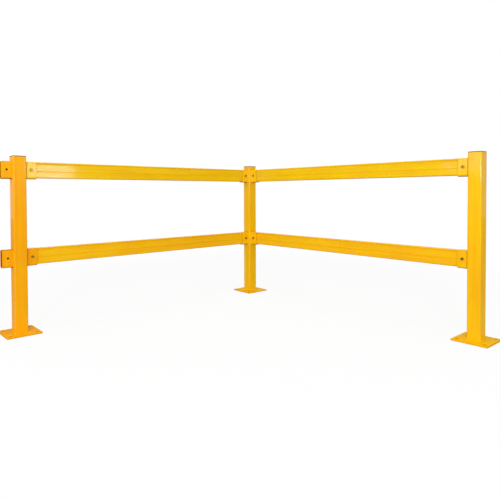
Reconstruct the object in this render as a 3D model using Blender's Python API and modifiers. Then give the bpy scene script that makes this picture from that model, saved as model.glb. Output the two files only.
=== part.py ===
# Industrial guard rail, L-shaped corner run: three square posts on base plates and
# two rails in each leg, dropped into folded pockets that are welded to the posts.
# Metres, +Z up. The origin is at floor level under the corner post. The left leg
# runs along -Y from it, the right leg along +X.

import math

import bmesh
import bpy
from mathutils import Matrix

# Posts: square hollow section, one size for all three.
POST_SIDE = 0.0762
POST_WALL = 0.0048
POST_CORNER_RADIUS = 0.0070
POST_LENGTH = 1.0630

# Legs: post centre to post centre.
LEFT_SPAN = 1.9050
RIGHT_SPAN = 1.9050

# Base plates, each with four anchor holes.
PLATE_SIDE = 0.2032
PLATE_THICKNESS = 0.0095
PLATE_CORNER_RADIUS = 0.0030
ANCHOR_HOLE_DIAMETER = 0.0175
ANCHOR_HOLE_INSET = 0.0254
FOOT_WELD_LEG = 0.0060
FOOT_WELD_WAIST_SHARE = 0.35
WELD_TOE_SHARE = 0.1

# Push-in end caps.
CAP_THICKNESS = 0.0040
CAP_EDGE_RADIUS = 0.0015
CAP_SPIGOT_WALL = 0.0025
CAP_SPIGOT_DEPTH = 0.0160

# Rails: roll-formed box section. A wide shallow groove sets off the top lip and a
# narrow one stiffens the web, both on each side, and the lower bends are round.
# The upper rail lies a set distance below the post's end, and the lower rail below
# the upper one, top to top.
RAIL_HEIGHT = 0.1000
RAIL_WIDTH = 0.0300
RAIL_SHEET = 0.0020
RAIL_TOP_RADIUS = 0.0030
RAIL_BOTTOM_RADIUS = 0.0060
LIP_GROOVE_DROP = 0.0115
LIP_GROOVE_WIDTH = 0.0070
LIP_GROOVE_FLOOR = 0.0020
LIP_GROOVE_DEPTH = 0.0018
WEB_GROOVE_DROP = 0.0575
WEB_GROOVE_WIDTH = 0.0032
WEB_GROOVE_DEPTH = 0.0012
UPPER_RAIL_DROP = 0.0291
RAIL_SPACING = 0.5307

# Pockets: plate folded to a U, open at the top and at the mouth.
POCKET_SHEET = 0.0060
POCKET_LENGTH = 0.0635
POCKET_LIP_RADIUS = 0.0050
POCKET_WELD_LEG = 0.0040
POCKET_WELD_STOP = 0.0030
POCKET_WELD_ROOT = 0.0008

# Bolts, one through each used pocket, with a washer at each end and a lock nut.
BOLT_DIAMETER = 0.0095
BOLT_HEAD_ACROSS_FLATS = 0.0143
BOLT_HEAD_HEIGHT = 0.0064
BOLT_END_PROUD = 0.0030
BOLT_CHAMFER_SHARE = 0.15
CROWN_ANGLE = 30
CROWN_FLAT_SHARE = 0.95
NUT_HEIGHT = 0.0085
WASHER_DIAMETER = 0.0254
WASHER_THICKNESS = 0.0020

# Clearances.
SEAT_GAP = 0.0003
RAIL_SIDE_FIT = 0.0005
RAIL_END_GAP = 0.0030
BOLT_HOLE_FIT = 0.0008
THREAD_FIT = 0.0003
WELD_DISTANCE = 0.00001

# Fineness of the curves.
CORNER_SEGMENTS = 4
SMALLEST_RADIUS = 0.0005
ANCHOR_HOLE_SEGMENTS = 20
FASTENER_SEGMENTS = 16
CAP_EDGE_SEGMENTS = 3

# What follows from the sizes above.
POST_HALF = POST_SIDE / 2
POST_FOOT = PLATE_THICKNESS + SEAT_GAP
POST_TOP = POST_FOOT + POST_LENGTH
UPPER_RAIL_TOP = POST_TOP - UPPER_RAIL_DROP
LOWER_RAIL_TOP = UPPER_RAIL_TOP - RAIL_SPACING
POCKET_INNER_WIDTH = RAIL_WIDTH + 2 * RAIL_SIDE_FIT
POCKET_OUTER_WIDTH = POCKET_INNER_WIDTH + 2 * POCKET_SHEET
POCKET_HEIGHT = RAIL_HEIGHT + SEAT_GAP + POCKET_SHEET
POCKET_BEND_RADIUS = RAIL_BOTTOM_RADIUS + RAIL_SIDE_FIT
BOLT_SETBACK = POST_HALF + SEAT_GAP + POCKET_LENGTH / 2
BOLT_DROP = RAIL_HEIGHT / 2
BOLT_HOLE_DIAMETER = BOLT_DIAMETER + 2 * BOLT_HOLE_FIT

# Finishes: colour, roughness and metallic value.
POWDER_COAT = ((0.93, 0.47, 0.012, 1.0), 0.35, 0.0)
CAP_PLASTIC = ((0.03, 0.03, 0.032, 1.0), 0.5, 0.0)
ZINC_PLATE = ((0.179, 0.101, 0.047, 1.0), 0.3, 1.0)


def clear_scene():
    for obj in list(bpy.data.objects):
        bpy.data.objects.remove(obj, do_unlink=True)


def make_collection(name):
    collection = bpy.data.collections.new(name)
    bpy.context.scene.collection.children.link(collection)
    return collection


def add_material(name, color, roughness, metallic):
    material = bpy.data.materials.new(name)
    material.use_nodes = True
    shader = material.node_tree.nodes["Principled BSDF"]
    shader.inputs["Base Color"].default_value = color
    shader.inputs["Roughness"].default_value = roughness
    shader.inputs["Metallic"].default_value = metallic
    return material


def circle(diameter, segments=FASTENER_SEGMENTS, centre=(0.0, 0.0)):
    points = []
    for step in range(segments):
        angle = 2 * math.pi * step / segments
        x = centre[0] + diameter / 2 * math.cos(angle)
        y = centre[1] + diameter / 2 * math.sin(angle)
        points.append((x, y))
    return points


def arc(centre, radius, start, end, segments=CORNER_SEGMENTS):
    points = []
    for step in range(segments + 1):
        angle = math.radians(start + (end - start) * step / segments)
        x = centre[0] + radius * math.cos(angle)
        y = centre[1] + radius * math.sin(angle)
        points.append((x, y))
    return points


def rounded_square(side, radius, inset=0.0):
    """Square outline, or the one that lies a distance inside (or outside) it."""
    side = side - 2 * inset
    radius = max(radius - inset, SMALLEST_RADIUS)
    reach = side / 2 - radius
    outline = arc((reach, -reach), radius, -90, 0)
    outline += arc((reach, reach), radius, 0, 90)
    outline += arc((-reach, reach), radius, 90, 180)
    outline += arc((-reach, -reach), radius, 180, 270)
    return outline


def inset_outline(outline, distance):
    """Moves each side of a counter-clockwise outline inward by one distance."""
    inset = []
    count = len(outline)
    for index, (x, y) in enumerate(outline):
        before = outline[index - 1]
        after = outline[(index + 1) % count]
        first = math.atan2(y - before[1], x - before[0])
        second = math.atan2(after[1] - y, after[0] - x)
        half_turn = math.remainder(second - first, 2 * math.pi) / 2
        reach = distance / math.cos(half_turn)
        inward = first + half_turn + math.pi / 2
        inset.append((x + reach * math.cos(inward), y + reach * math.sin(inward)))
    return inset


def weld(mesh):
    shell = bmesh.new()
    shell.from_mesh(mesh)
    bmesh.ops.remove_doubles(shell, verts=shell.verts, dist=WELD_DISTANCE)
    bmesh.ops.recalc_face_normals(shell, faces=shell.faces)
    shell.to_mesh(mesh)
    shell.free()


def bake(obj):
    """Returns the evaluated mesh of an object and removes the object."""
    bpy.context.view_layer.update()
    depsgraph = bpy.context.evaluated_depsgraph_get()
    mesh = bpy.data.meshes.new_from_object(obj.evaluated_get(depsgraph))
    bpy.data.objects.remove(obj, do_unlink=True)
    weld(mesh)
    return mesh


def scratch_object(name, data):
    obj = bpy.data.objects.new(name, data)
    bpy.context.scene.collection.objects.link(obj)
    return obj


def extruded(name, outlines, length):
    """Flat outlines, the first with the others as holes, extruded along Z."""
    curve = bpy.data.curves.new(name, "CURVE")
    curve.dimensions = "2D"
    curve.fill_mode = "BOTH"
    curve.extrude = length / 2
    for outline in outlines:
        spline = curve.splines.new("POLY")
        spline.points.add(len(outline) - 1)
        for point, (x, y) in zip(spline.points, outline):
            point.co = (x, y, 0.0, 1.0)
        spline.use_cyclic_u = True
    return bake(scratch_object(name, curve))


def turned(name, profile, segments=FASTENER_SEGMENTS):
    """A profile of (radius, height) points, top to bottom, turned about Z."""
    mesh = bpy.data.meshes.new(name)
    vertices = [(radius, 0.0, height) for radius, height in profile]
    edges = [(index, index + 1) for index in range(len(profile) - 1)]
    mesh.from_pydata(vertices, edges, [])
    obj = scratch_object(name, mesh)
    screw = obj.modifiers.new("turn", "SCREW")
    screw.steps = segments
    screw.render_steps = segments
    screw.use_merge_vertices = True
    screw.merge_threshold = WELD_DISTANCE
    return bake(obj)


def combine(mesh, tools, operation):
    """Cuts, joins or intersects a mesh with each (mesh, matrix) tool in turn."""
    obj = scratch_object("blank", mesh)
    helpers = []
    for tool_mesh, matrix in tools:
        helper = scratch_object("tool", tool_mesh)
        helper.matrix_world = matrix
        helper.hide_render = True
        helper.display_type = "WIRE"
        boolean = obj.modifiers.new("combine", "BOOLEAN")
        boolean.operation = operation
        boolean.solver = "EXACT"
        boolean.object = helper
        helpers.append(helper)
    result = bake(obj)
    for helper in helpers:
        bpy.data.objects.remove(helper, do_unlink=True)
    return result


def drill_mesh(diameter, length):
    return extruded("drill", [circle(diameter)], length)


def post_mesh():
    outer = rounded_square(POST_SIDE, POST_CORNER_RADIUS)
    inner = rounded_square(POST_SIDE, POST_CORNER_RADIUS, POST_WALL)
    return extruded("post", [outer, inner], POST_LENGTH)


def plate_mesh():
    outlines = [rounded_square(PLATE_SIDE, PLATE_CORNER_RADIUS)]
    offset = PLATE_SIDE / 2 - ANCHOR_HOLE_INSET
    for x in (-offset, offset):
        for y in (-offset, offset):
            outlines.append(circle(ANCHOR_HOLE_DIAMETER, ANCHOR_HOLE_SEGMENTS, (x, y)))
    return extruded("base_plate", outlines, PLATE_THICKNESS)


def lofted(name, rings, closed):
    """Skins a row of (outline, height) rings that have the same number of points."""
    shell = bmesh.new()
    rows = []
    for outline, height in rings:
        rows.append([shell.verts.new((x, y, height)) for x, y in outline])
    count = len(rows[0])
    pairs = list(zip(rows, rows[1:]))
    if closed:
        pairs.append((rows[-1], rows[0]))
    else:
        shell.faces.new(rows[0])
        shell.faces.new(rows[-1])
    for low, high in pairs:
        for index in range(count):
            after = (index + 1) % count
            shell.faces.new((low[index], low[after], high[after], high[index]))
    mesh = bpy.data.meshes.new(name)
    shell.to_mesh(mesh)
    shell.free()
    weld(mesh)
    return mesh


def foot_weld_mesh():
    """Fillet round the foot of a post, slightly hollow on its sloping face."""
    toe = WELD_TOE_SHARE * FOOT_WELD_LEG
    waist = FOOT_WELD_WAIST_SHARE * FOOT_WELD_LEG
    section = [(0.0, 0.0), (FOOT_WELD_LEG, 0.0), (FOOT_WELD_LEG, toe),
               (waist, waist), (toe, FOOT_WELD_LEG), (0.0, FOOT_WELD_LEG)]
    rings = []
    for reach, height in section:
        out = SEAT_GAP + reach
        rings.append((rounded_square(POST_SIDE, POST_CORNER_RADIUS, -out), height))
    return lofted("foot_weld", rings, True)


def cap_mesh():
    """Flange as wide as the post, rounded at its top edge, and a hollow spigot."""
    rings = [(rounded_square(POST_SIDE, POST_CORNER_RADIUS), 0.0)]
    edge = (0.0, CAP_THICKNESS - CAP_EDGE_RADIUS)
    for x, y in arc(edge, CAP_EDGE_RADIUS, 0, 90, CAP_EDGE_SEGMENTS):
        inset = CAP_EDGE_RADIUS - x
        rings.append((rounded_square(POST_SIDE, POST_CORNER_RADIUS, inset), y))
    flange = lofted("cap", rings, False)
    fit = POST_WALL + SEAT_GAP
    bore = rounded_square(POST_SIDE, POST_CORNER_RADIUS, fit)
    hollow = rounded_square(POST_SIDE, POST_CORNER_RADIUS, fit + CAP_SPIGOT_WALL)
    overlap = CAP_THICKNESS / 2
    spigot = extruded("cap_spigot", [bore, hollow], CAP_SPIGOT_DEPTH + overlap)
    rise = overlap - (CAP_SPIGOT_DEPTH + overlap) / 2
    return combine(flange, [(spigot, Matrix.Translation((0, 0, rise)))], "UNION")


def rail_outline():
    """Cross-section, width along X and height along Y, the top edge at Y = 0."""
    half = RAIL_WIDTH / 2
    low = RAIL_BOTTOM_RADIUS
    top = RAIL_TOP_RADIUS
    right = arc((half - low, low - RAIL_HEIGHT), low, -90, 0)
    right.append((half, -WEB_GROOVE_DROP - WEB_GROOVE_WIDTH / 2))
    right.append((half - WEB_GROOVE_DEPTH, -WEB_GROOVE_DROP))
    right.append((half, -WEB_GROOVE_DROP + WEB_GROOVE_WIDTH / 2))
    right.append((half, -LIP_GROOVE_DROP - LIP_GROOVE_WIDTH / 2))
    right.append((half - LIP_GROOVE_DEPTH, -LIP_GROOVE_DROP - LIP_GROOVE_FLOOR / 2))
    right.append((half - LIP_GROOVE_DEPTH, -LIP_GROOVE_DROP + LIP_GROOVE_FLOOR / 2))
    right.append((half, -LIP_GROOVE_DROP + LIP_GROOVE_WIDTH / 2))
    right += arc((half - top, -top), top, 0, 90)
    left = [(-x, y) for x, y in reversed(right)]
    return right + left


def rail_mesh(span):
    length = span - 2 * (POST_HALF + RAIL_END_GAP)
    outer = rail_outline()
    inner = inset_outline(outer, RAIL_SHEET)
    mesh = extruded("rail", [outer, inner], length)
    drill = drill_mesh(BOLT_HOLE_DIAMETER, 2 * RAIL_WIDTH)
    turn = Matrix.Rotation(math.pi / 2, 4, "Y")
    reach = span / 2 - BOLT_SETBACK
    tools = []
    for z in (-reach, reach):
        tools.append((drill, Matrix.Translation((0, -BOLT_DROP, z)) @ turn))
    return combine(mesh, tools, "DIFFERENCE")


def folded_outline(outer, inner, top):
    """U section about the pocket's bends, between two distances from its inner wall."""
    bend_x = POCKET_INNER_WIDTH / 2 - POCKET_BEND_RADIUS
    bend_y = -POCKET_HEIGHT + POCKET_SHEET + POCKET_BEND_RADIUS
    far = POCKET_BEND_RADIUS + outer
    near = POCKET_BEND_RADIUS + inner
    outline = [(-bend_x - near, top), (-bend_x - far, top)]
    outline += arc((-bend_x, bend_y), far, 180, 270)
    outline += arc((bend_x, bend_y), far, 270, 360)
    outline += [(bend_x + far, top), (bend_x + near, top)]
    outline += arc((bend_x, bend_y), near, 360, 270)
    outline += arc((-bend_x, bend_y), near, 270, 180)
    return outline


def pocket_weld_mesh():
    """Fillet round the root of a pocket, where it meets the post, on Z = 0."""
    inner = POCKET_SHEET - POCKET_WELD_ROOT
    toe = POCKET_SHEET + WELD_TOE_SHARE * POCKET_WELD_LEG
    foot = folded_outline(POCKET_SHEET + POCKET_WELD_LEG, inner, -POCKET_WELD_STOP)
    end = folded_outline(toe, inner, -POCKET_WELD_STOP)
    return lofted("pocket_weld", [(foot, 0.0), (end, POCKET_WELD_LEG)], False)


def pocket_mesh():
    """The mouth is at +Z of the section, with its two upper corners rounded. The
    root at -Z carries the weld that holds the pocket on its post."""
    mesh = extruded("pocket", [folded_outline(POCKET_SHEET, 0.0, 0.0)], POCKET_LENGTH)
    lip = bmesh.new()
    lip.from_mesh(mesh)
    bmesh.ops.dissolve_limit(
        lip, angle_limit=math.radians(1), verts=lip.verts, edges=lip.edges)
    corners = []
    for edge in lip.edges:
        at_mouth = all(v.co.z > POCKET_LENGTH / 2 - WELD_DISTANCE for v in edge.verts)
        at_top = all(v.co.y > -WELD_DISTANCE for v in edge.verts)
        if at_mouth and at_top:
            corners.append(edge)
    bmesh.ops.bevel(
        lip,
        geom=corners,
        offset=POCKET_LIP_RADIUS,
        offset_type="OFFSET",
        segments=CORNER_SEGMENTS,
        profile=0.5,
        affect="EDGES",
        clamp_overlap=True,
    )
    lip.to_mesh(mesh)
    lip.free()
    root = Matrix.Translation((0, 0, -POCKET_LENGTH / 2))
    mesh = combine(mesh, [(pocket_weld_mesh(), root)], "UNION")
    drill = drill_mesh(BOLT_HOLE_DIAMETER, 2 * POCKET_OUTER_WIDTH)
    place = Matrix.Translation((0, -BOLT_DROP, 0)) @ Matrix.Rotation(math.pi / 2, 4, "Y")
    return combine(mesh, [(drill, place)], "DIFFERENCE")


def hexagon_blank(across_flats, height):
    """Hexagon standing on Z = 0, its upper corners taken off by a cone."""
    corner_diameter = across_flats / math.cos(math.pi / 6)
    prism = extruded("hexagon", [circle(corner_diameter, 6)], height)
    prism.transform(Matrix.Translation((0, 0, height / 2)))
    slope = math.tan(math.radians(CROWN_ANGLE))
    top_radius = CROWN_FLAT_SHARE * across_flats / 2
    foot_radius = top_radius + 2 * height / slope
    crown = turned("crown", [(0.0, height * 1.001), (top_radius, height * 1.001),
                             (foot_radius, -height * 0.999), (0.0, -height * 0.999)])
    return combine(prism, [(crown, Matrix.Identity(4))], "INTERSECT")


def bolt_reach():
    """Length under the head: pocket, two washers, nut, gaps and the proud end."""
    stack = POCKET_OUTER_WIDTH + 2 * WASHER_THICKNESS + NUT_HEIGHT
    return stack + 4 * SEAT_GAP + BOLT_END_PROUD


def bolt_mesh():
    """The head stands on Z = 0 and the shank hangs below it."""
    head = hexagon_blank(BOLT_HEAD_ACROSS_FLATS, BOLT_HEAD_HEIGHT)
    radius = BOLT_DIAMETER / 2
    chamfer = BOLT_CHAMFER_SHARE * BOLT_DIAMETER
    root = BOLT_HEAD_HEIGHT / 2
    tip = -bolt_reach()
    profile = [(0.0, root), (radius, root), (radius, tip + chamfer),
               (radius - chamfer, tip), (0.0, tip)]
    shank = turned("shank", profile)
    return combine(head, [(shank, Matrix.Identity(4))], "UNION")


def nut_mesh():
    blank = hexagon_blank(BOLT_HEAD_ACROSS_FLATS, NUT_HEIGHT)
    bore = drill_mesh(BOLT_DIAMETER + 2 * THREAD_FIT, 4 * NUT_HEIGHT)
    return combine(blank, [(bore, Matrix.Identity(4))], "DIFFERENCE")


def washer_mesh():
    bore = BOLT_DIAMETER + 2 * THREAD_FIT
    return extruded("washer", [circle(WASHER_DIAMETER), circle(bore)], WASHER_THICKNESS)


def add_piece(collection, parent, name, mesh, location, rotation, look):
    obj = bpy.data.objects.new(name, mesh)
    collection.objects.link(obj)
    obj.parent = parent
    obj.location = location
    obj.rotation_euler = rotation
    if not mesh.materials:
        mesh.materials.append(None)
    obj.material_slots[0].link = "OBJECT"
    obj.material_slots[0].material = add_material(name + "_finish", *look)
    return obj


def add_leg(collection, name, turn):
    """An empty at the corner post. Its leg runs along the empty's own -Y."""
    leg = bpy.data.objects.new(name, None)
    collection.objects.link(leg)
    leg.rotation_euler = (0.0, 0.0, turn)
    return leg


def add_post_set(collection, parent, label, meshes, distance):
    """Plate, foot weld, post and cap, at a distance along the leg."""
    upright = (0.0, 0.0, 0.0)
    y = -distance
    add_piece(collection, parent, label + "_base_plate", meshes["plate"],
              (0, y, PLATE_THICKNESS / 2), upright, POWDER_COAT)
    add_piece(collection, parent, label + "_foot_weld", meshes["foot_weld"],
              (0, y, PLATE_THICKNESS + SEAT_GAP), upright, POWDER_COAT)
    add_piece(collection, parent, label + "_post", meshes["post"],
              (0, y, POST_FOOT + POST_LENGTH / 2), upright, POWDER_COAT)
    add_piece(collection, parent, label + "_post_cap", meshes["cap"],
              (0, y, POST_TOP + SEAT_GAP), upright, CAP_PLASTIC)


def add_pocket(collection, leg, label, mesh, y, top, mouth_sign):
    """A pocket whose mouth faces along the leg (+1) or back to the corner (-1)."""
    # The section's Z turns to the leg's -Y, so a mouth that faces +Y is turned round.
    turn = 0.0 if mouth_sign > 0 else math.pi
    add_piece(collection, leg, label, mesh, (0, y, top), (math.pi / 2, 0, turn),
              POWDER_COAT)


def add_fastening(collection, leg, label, meshes, y, height, head_side):
    """Bolt, nut and two washers across the leg, the head on the side given. The
    washer under the head is coated like the pocket, and the rest is plated."""
    turn = (0.0, head_side * math.pi / 2, 0.0)
    back = (0.0, -head_side * math.pi / 2, 0.0)
    face = POCKET_OUTER_WIDTH / 2 + SEAT_GAP
    seat = face + WASHER_THICKNESS + SEAT_GAP
    middle = face + WASHER_THICKNESS / 2
    add_piece(collection, leg, "head_washer_" + label, meshes["washer"],
              (head_side * middle, y, height), turn, POWDER_COAT)
    add_piece(collection, leg, "bolt_" + label, meshes["bolt"],
              (head_side * seat, y, height), turn, ZINC_PLATE)
    add_piece(collection, leg, "nut_washer_" + label, meshes["washer"],
              (-head_side * middle, y, height), turn, ZINC_PLATE)
    add_piece(collection, leg, "nut_" + label, meshes["nut"],
              (-head_side * seat, y, height), back, ZINC_PLATE)


def add_leg_rails(collection, leg, side, end_label, meshes, span, head_side):
    """Both rails of a leg with their pockets and bolts at each end."""
    levels = {"upper": UPPER_RAIL_TOP, "lower": LOWER_RAIL_TOP}
    centre = POST_HALF + SEAT_GAP + POCKET_LENGTH / 2
    rail = rail_mesh(span)
    for level, top in levels.items():
        add_piece(collection, leg, side + "_" + level + "_rail", rail,
                  (0, -span / 2, top), (math.pi / 2, 0, 0), POWDER_COAT)
        add_pocket(collection, leg, "corner_pocket_" + side + "_" + level,
                   meshes["pocket"], -centre, top, 1)
        add_pocket(collection, leg, end_label + "_pocket_inner_" + level,
                   meshes["pocket"], -span + centre, top, -1)
        height = top - BOLT_DROP
        add_fastening(collection, leg, "corner_" + side + "_" + level, meshes,
                      -centre, height, head_side)
        add_fastening(collection, leg, end_label + "_" + level, meshes,
                      -span + centre, height, head_side)


def add_spare_pockets(collection, leg, label, mesh, span):
    """The two pockets of the end post that wait for a further bay."""
    centre = POST_HALF + SEAT_GAP + POCKET_LENGTH / 2
    add_pocket(collection, leg, label + "_pocket_outer_upper", mesh,
               -span - centre, UPPER_RAIL_TOP, 1)
    add_pocket(collection, leg, label + "_pocket_outer_lower", mesh,
               -span - centre, LOWER_RAIL_TOP, 1)


def build():
    clear_scene()
    collection = make_collection("industrial_guard_rail")
    meshes = {
        "post": post_mesh(),
        "plate": plate_mesh(),
        "foot_weld": foot_weld_mesh(),
        "cap": cap_mesh(),
        "pocket": pocket_mesh(),
        "bolt": bolt_mesh(),
        "nut": nut_mesh(),
        "washer": washer_mesh(),
    }
    left_leg = add_leg(collection, "left_leg", 0.0)
    right_leg = add_leg(collection, "right_leg", math.pi / 2)
    add_post_set(collection, left_leg, "corner", meshes, 0.0)
    add_post_set(collection, left_leg, "left", meshes, LEFT_SPAN)
    add_post_set(collection, right_leg, "right", meshes, RIGHT_SPAN)
    add_leg_rails(collection, left_leg, "left", "left", meshes, LEFT_SPAN, 1)
    add_leg_rails(collection, right_leg, "right", "right", meshes, RIGHT_SPAN, -1)
    add_spare_pockets(collection, left_leg, "left", meshes["pocket"], LEFT_SPAN)


build()
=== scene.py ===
"""Industrial guard rail, an L-shaped corner run of three posts and four rails.

The pieces follow in the order of assembly: base plates, posts, foot welds, end caps,
pockets, rails and fastenings. Metres, +Z up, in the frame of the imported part.
"""

import math

import bmesh
import bpy
from mathutils import Matrix, Vector


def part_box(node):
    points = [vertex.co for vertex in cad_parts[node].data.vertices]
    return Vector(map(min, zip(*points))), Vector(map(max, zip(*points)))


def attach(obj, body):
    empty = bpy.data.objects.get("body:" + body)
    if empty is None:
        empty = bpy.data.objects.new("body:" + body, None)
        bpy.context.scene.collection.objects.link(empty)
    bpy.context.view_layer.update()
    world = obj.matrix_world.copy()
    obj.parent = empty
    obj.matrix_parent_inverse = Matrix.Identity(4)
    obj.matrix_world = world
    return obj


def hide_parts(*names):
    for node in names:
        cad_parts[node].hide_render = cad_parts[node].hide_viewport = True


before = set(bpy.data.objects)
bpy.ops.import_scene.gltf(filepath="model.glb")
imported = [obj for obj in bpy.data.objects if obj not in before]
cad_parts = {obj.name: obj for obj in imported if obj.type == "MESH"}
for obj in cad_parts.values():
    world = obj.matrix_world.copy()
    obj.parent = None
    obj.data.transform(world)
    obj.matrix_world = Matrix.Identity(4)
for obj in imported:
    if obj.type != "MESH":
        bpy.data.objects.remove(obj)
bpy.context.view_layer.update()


# Camera
# A nearly level view into the corner from 0.85 m above the floor, a little right of
# the bisector. The sensor is shifted down and to the right, as the photo is cropped.
CAMERA_PLACE = Vector((3.0612, -2.8109, 0.8491))
CAMERA_YAW = math.radians(48.988)
CAMERA_PITCH = math.radians(1.241)
CAMERA_ROLL = math.radians(-0.2288)

ahead = Vector((
    -math.sin(CAMERA_YAW) * math.cos(CAMERA_PITCH),
    math.cos(CAMERA_YAW) * math.cos(CAMERA_PITCH),
    -math.sin(CAMERA_PITCH),
))
level = Vector((math.cos(CAMERA_YAW), math.sin(CAMERA_YAW), 0.0))
upward = level.cross(ahead)
right = math.cos(CAMERA_ROLL) * level + math.sin(CAMERA_ROLL) * upward
above = math.cos(CAMERA_ROLL) * upward - math.sin(CAMERA_ROLL) * level
turned = Matrix((right, above, -ahead)).transposed().to_4x4()

lens = bpy.data.cameras.new("camera")
lens.sensor_width = 36.0
lens.lens = 34.48
lens.shift_x = 0.0262
lens.shift_y = -0.0936
camera = bpy.data.objects.new("camera", lens)
camera.matrix_world = Matrix.Translation(CAMERA_PLACE) @ turned
bpy.context.scene.collection.objects.link(camera)
bpy.context.scene.camera = camera


# Base plates
# Hot-rolled steel plate, 8 in square and 9.5 mm thick, with four drilled anchor holes
# and its edges ground back a little. Each carries one post and stands on the floor.
PLATE_SIDE = 0.2032
PLATE_THICKNESS = 0.0095
PLATE_CORNER = 0.0030
PLATE_ARRIS = 0.0008
ANCHOR_HOLE = 0.0175
ANCHOR_INSET = 0.0254
# How much of the coat is missing on cut edges, and how dark the anchor holes are painted as
# shade.
EDGE_SHARE = 0.22
ANCHOR_SHADE_SHARE = 0.42
# A face whose normal is at least this much upright belongs to a flat side.
FLAT_NORMAL = 0.98
POSTS = {"corner": (0.0, 0.0), "left": (0.0, -1.9050), "right": (1.9050, 0.0)}


def linear(hex_colour):
    """Turns an sRGB hex colour to the linear values that a shader takes."""
    values = []
    for start in (1, 3, 5):
        value = int(hex_colour[start:start + 2], 16) / 255
        low = value / 12.92
        values.append(low if value <= 0.04045 else ((value + 0.055) / 1.055) ** 2.4)
    return (*values, 1.0)


def add_node(tree, kind, links=None, **settings):
    """Adds a node, sets its properties, and links or fills its sockets."""
    node = tree.nodes.new(kind)
    for key, value in settings.items():
        setattr(node, key, value)
    for socket, value in (links or {}).items():
        if isinstance(value, bpy.types.NodeSocket):
            tree.links.new(value, node.inputs[socket])
        else:
            node.inputs[socket].default_value = value
    return node


def new_material(name):
    """An empty node material and its tree."""
    material = bpy.data.materials.new(name)
    material.use_nodes = True
    material.node_tree.nodes.clear()
    return material, material.node_tree


def powder_coat(name, body, deep, gloss=0.08, matt=0.05, run=(1.0, 1.0, 0.03)):
    """Gloss polyester powder coat on steel: an even, saturated film that flows out to
    a faint orange peel and shows the long waves of the rolled steel under it. Sharp
    edges take less powder, so they are a deeper orange, and bores, grooves, inner
    corners and undersides are darkened to orange and brown as painted shade."""
    material, tree = new_material(name)
    place = add_node(tree, "ShaderNodeTexCoord").outputs["Object"]
    # Tone drifts over about 300 mm, the width of a spray pass, and in bands of
    # about 20 mm that run on along the piece, as the waves of the steel do.
    drift = add_node(tree, "ShaderNodeTexNoise",
                     {"Vector": place, "Scale": 3.2, "Detail": 2.0})
    stretched = add_node(tree, "ShaderNodeMapping", {"Vector": place, "Scale": run})
    waves = add_node(tree, "ShaderNodeTexNoise", {
        "Vector": stretched.outputs[0], "Scale": 50.0, "Detail": 1.0})
    both = add_node(tree, "ShaderNodeMath", {
        0: drift.outputs["Fac"], 1: waves.outputs["Fac"]}, operation="ADD")
    bands = add_node(tree, "ShaderNodeMapRange", {
        "Value": both.outputs[0], "From Min": 0.75, "From Max": 1.25})
    tone = add_node(tree, "ShaderNodeMix", {
        "Factor": bands.outputs["Result"], "A": linear(body), "B": linear(deep)},
        data_type="RGBA")
    # Painted shade in inner corners and creases, found by an occlusion test: 12 mm is how far it
    # reaches.
    crevice = add_node(tree, "ShaderNodeAmbientOcclusion", {"Distance": 0.012},
                       samples=8)
    crevice_shade = add_node(tree, "ShaderNodeMapRange", {
        "Value": crevice.outputs["AO"], "From Min": 0.8, "From Max": 0.45,
        "To Min": 0.0, "To Max": 0.45})
    marked = add_node(tree, "ShaderNodeAttribute", attribute_name="thin_coat_and_shade")
    thin_and_shade = add_node(tree, "ShaderNodeMath", {
        0: crevice_shade.outputs["Result"], 1: marked.outputs["Fac"]}, operation="MAXIMUM")
    # Up to a half share the film turns orange, and past that brown: a lean coat on cut edges and
    # weld faces, and painted shade in corners, bores, grooves, weld toes and undersides.
    orange_share = add_node(tree, "ShaderNodeMath", {0: thin_and_shade.outputs[0], 1: 2.0},
                            operation="MULTIPLY")
    brown_share = add_node(tree, "ShaderNodeMath", {0: orange_share.outputs[0], 1: 1.0},
                           operation="SUBTRACT")
    lean = add_node(tree, "ShaderNodeMix", {
        "Factor": orange_share.outputs[0], "A": tone.outputs["Result"],
        "B": linear("#DC8F12")}, data_type="RGBA")
    colour = add_node(tree, "ShaderNodeMix", {
        "Factor": brown_share.outputs[0], "A": lean.outputs["Result"],
        "B": linear("#4E2612")}, data_type="RGBA")
    # Orange peel has cells of about 2.5 mm, drawn a little deep so that it shows.
    cells = add_node(tree, "ShaderNodeTexNoise",
                     {"Vector": place, "Scale": 400.0, "Detail": 1.0})
    sheet = add_node(tree, "ShaderNodeBump", {
        "Height": waves.outputs["Fac"], "Strength": 0.8, "Distance": 0.0002})
    skin = add_node(tree, "ShaderNodeBump", {
        "Height": cells.outputs["Fac"], "Strength": 0.5, "Distance": 0.00005,
        "Normal": sheet.outputs["Normal"]})
    # The film is a little thicker and glossier over patches of about 12 mm.
    film = add_node(tree, "ShaderNodeTexNoise",
                    {"Vector": place, "Scale": 80.0, "Detail": 3.0})
    rough = add_node(tree, "ShaderNodeMapRange", {
        "Value": film.outputs["Fac"], "From Min": 0.3, "From Max": 0.7,
        "To Min": matt, "To Max": matt + 0.05})
    # A thin film doesn't flow out, so it is dull; the gloss also fades where shade is painted.
    sheen = add_node(tree, "ShaderNodeMapRange", {
        "Value": thin_and_shade.outputs[0], "From Max": 0.1, "To Min": gloss, "To Max": 0.0})
    shader = add_node(tree, "ShaderNodeBsdfPrincipled", {
        "Base Color": colour.outputs["Result"], "Roughness": rough.outputs["Result"],
        "IOR": 1.5, "Specular IOR Level": sheen.outputs["Result"],
        "Normal": skin.outputs["Normal"]})
    add_node(tree, "ShaderNodeOutputMaterial", {"Surface": shader.outputs["BSDF"]})
    return material


def arc(centre, radius, start, end, steps):
    """Points on an arc, from one angle in degrees to another."""
    points = []
    for step in range(steps + 1):
        angle = math.radians(start + (end - start) * step / steps)
        points.append((centre[0] + radius * math.cos(angle),
                       centre[1] + radius * math.sin(angle)))
    return points


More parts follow.
